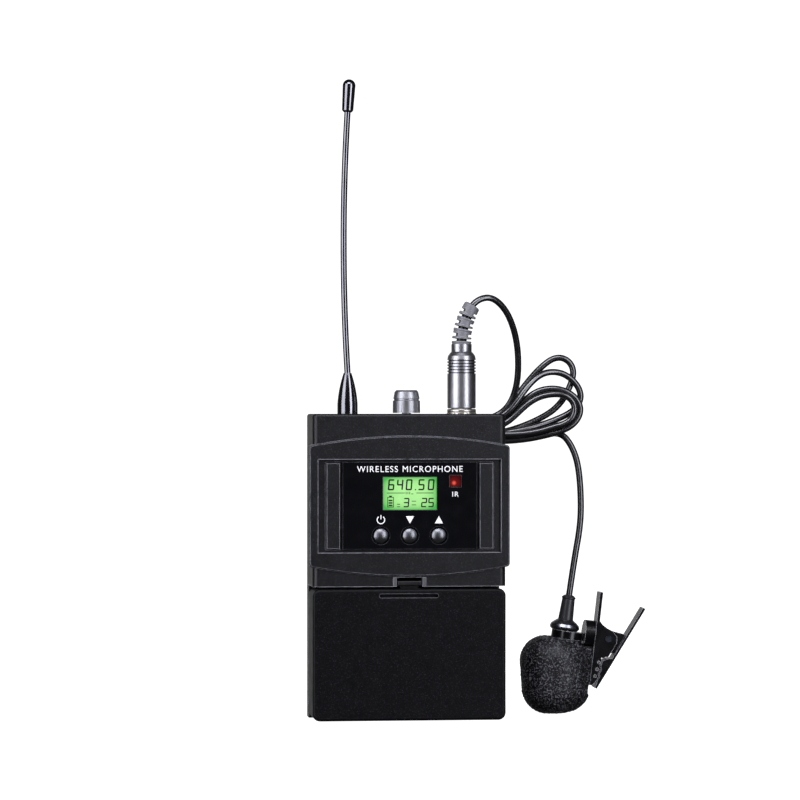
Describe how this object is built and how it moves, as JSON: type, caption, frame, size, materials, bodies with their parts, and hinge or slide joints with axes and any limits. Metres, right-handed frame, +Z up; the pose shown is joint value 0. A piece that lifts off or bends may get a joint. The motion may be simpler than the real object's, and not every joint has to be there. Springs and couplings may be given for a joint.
{
  "type": "lavalier microphone with body-pack transmitter",
  "caption": "Body-pack radio transmitter with display, keys, whip antenna and battery door, wired to a foam-covered lapel microphone with a tie clip.",
  "frame": {"origin": "middle of the pack's base", "axes": "+Z up along the antenna, the display faces -Y, +X to the right of someone facing the display"},
  "size_m": [0.1158, 0.0378, 0.2123],
  "materials": {
    "case_plastic": "matt, fine spark-eroded texture",
    "door_plastic": "matt, fine spark-eroded texture",
    "gloss_panel": "glossy",
    "lcd": "back-lit display behind clear plastic",
    "ir_red": "clear dark red",
    "led_clear": "clear",
    "key_rubber": "glossy domes",
    "latch_plastic": "satin",
    "board": "solder-resist green",
    "switch": "satin",
    "tinplate": "bright tin-plated",
    "polished_steel": "polished",
    "dark_nickel": "satin gunmetal",
    "nickel": "bright nickel",
    "screw_steel": "zinc-plated",
    "insulator": "satin",
    "gold": "gold-flashed",
    "grey_rubber": "satin grey",
    "cord_pvc": "glossy soft vinyl",
    "tie_pvc": "satin",
    "cell_wrap": "printed plastic sleeve",
    "spring_steel": "black oxide, satin",
    "mic_metal": "glossy black",
    "capsule_metal": "plain",
    "sleeve_rubber": "satin black",
    "foam": "open-cell polyurethane foam",
    "clip_plastic": "semi-gloss black"
  },
  "bodies": {
    "transmitter": {"front_shell": "case_plastic", "rear_shell": "case_plastic", "latch_guides": "latch_plastic", "display_panel": "gloss_panel", "lcd_module": "lcd", "ir_window": "ir_red", "ir_led": "led_clear", "tact_switches": "switch", "main_board": "board", "shield_can": "tinplate", "board_screws": "screw_steel", "antenna_ferrule": "polished_steel", "antenna_rod": "polished_steel", "antenna_tip": "polished_steel", "potentiometer": "tinplate", "mic_socket": "nickel", "socket_pins": "gold", "socket_nut": "nickel", "plug_insert": "insulator", "plug_barrel": "dark_nickel", "plug_grip": "dark_nickel", "plug_boot": "grey_rubber", "cord_upper": "cord_pvc", "cord_lower": "cord_pvc", "cord_coil": "cord_pvc", "cord_tie": "tie_pvc", "battery_tray": "insulator", "battery_cell_lower": "cell_wrap", "battery_cell_upper": "cell_wrap", "battery_contacts": "nickel", "battery_springs": "nickel", "belt_clip": "spring_steel", "clip_screws": "screw_steel", "case_screws": "screw_steel", "mic_body": "mic_metal", "mic_capsule": "capsule_metal", "mic_grille": "capsule_metal", "mic_sleeve": "sleeve_rubber", "windscreen": "foam"},
    "door": {"battery_door": "door_plastic", "door_hinge_pins": "screw_steel"},
    "latch": {"door_latch": "latch_plastic"},
    "knob": {"volume_knob": "dark_nickel"},
    "power_key": {"power_button": "key_rubber"},
    "down_key": {"down_button": "key_rubber"},
    "up_key": {"up_button": "key_rubber"},
    "tie_clip": {"tie_clip_base": "clip_plastic", "tie_clip_pin": "screw_steel", "tie_clip_spring": "nickel"},
    "tie_jaw": {"tie_clip_jaw": "clip_plastic"}
  },
  "joints": [
    {"name": "battery_door_hinge", "type": "hinge", "parent": "transmitter", "child": "door", "pos_m": [0, 0.0038, 0.0024], "axis": [1, 0, 0], "range_deg": [0, 95]},
    {"name": "door_latch_slide", "type": "slide", "parent": "transmitter", "child": "latch", "axis": [0, 0, 1], "range_m": [0, 0.001], "stiffness_N_per_m": 400, "springref_m": -0.0005},
    {"name": "volume_turn", "type": "hinge", "parent": "transmitter", "child": "knob", "pos_m": [0.0005, 0.002, 0.1], "axis": [0, 0, 1], "range_deg": [-145, 145]},
    {"name": "power_press", "type": "slide", "parent": "transmitter", "child": "power_key", "axis": [0, 1, 0], "range_m": [0, 0.00035], "stiffness_N_per_m": 1500, "springref_m": -0.0003},
    {"name": "down_press", "type": "slide", "parent": "transmitter", "child": "down_key", "axis": [0, 1, 0], "range_m": [0, 0.00035], "stiffness_N_per_m": 1500, "springref_m": -0.0003},
    {"name": "up_press", "type": "slide", "parent": "transmitter", "child": "up_key", "axis": [0, 1, 0], "range_m": [0, 0.00035], "stiffness_N_per_m": 1500, "springref_m": -0.0003},
    {"name": "tie_clip_swivel", "type": "hinge", "parent": "transmitter", "child": "tie_clip", "pos_m": [0.0532, 0.0126, 0.01395], "axis": [0.1444, 0, 0.9895], "range_deg": [-20, 20]},
    {"name": "tie_clip_open", "type": "hinge", "parent": "tie_clip", "child": "tie_jaw", "pos_m": [0.0699, 0.0126, 0.02505], "axis": [0, -1, 0], "range_deg": [0, 25], "stiffness_Nm_per_rad": 0.15, "springref_deg": -20.05}
  ]
}
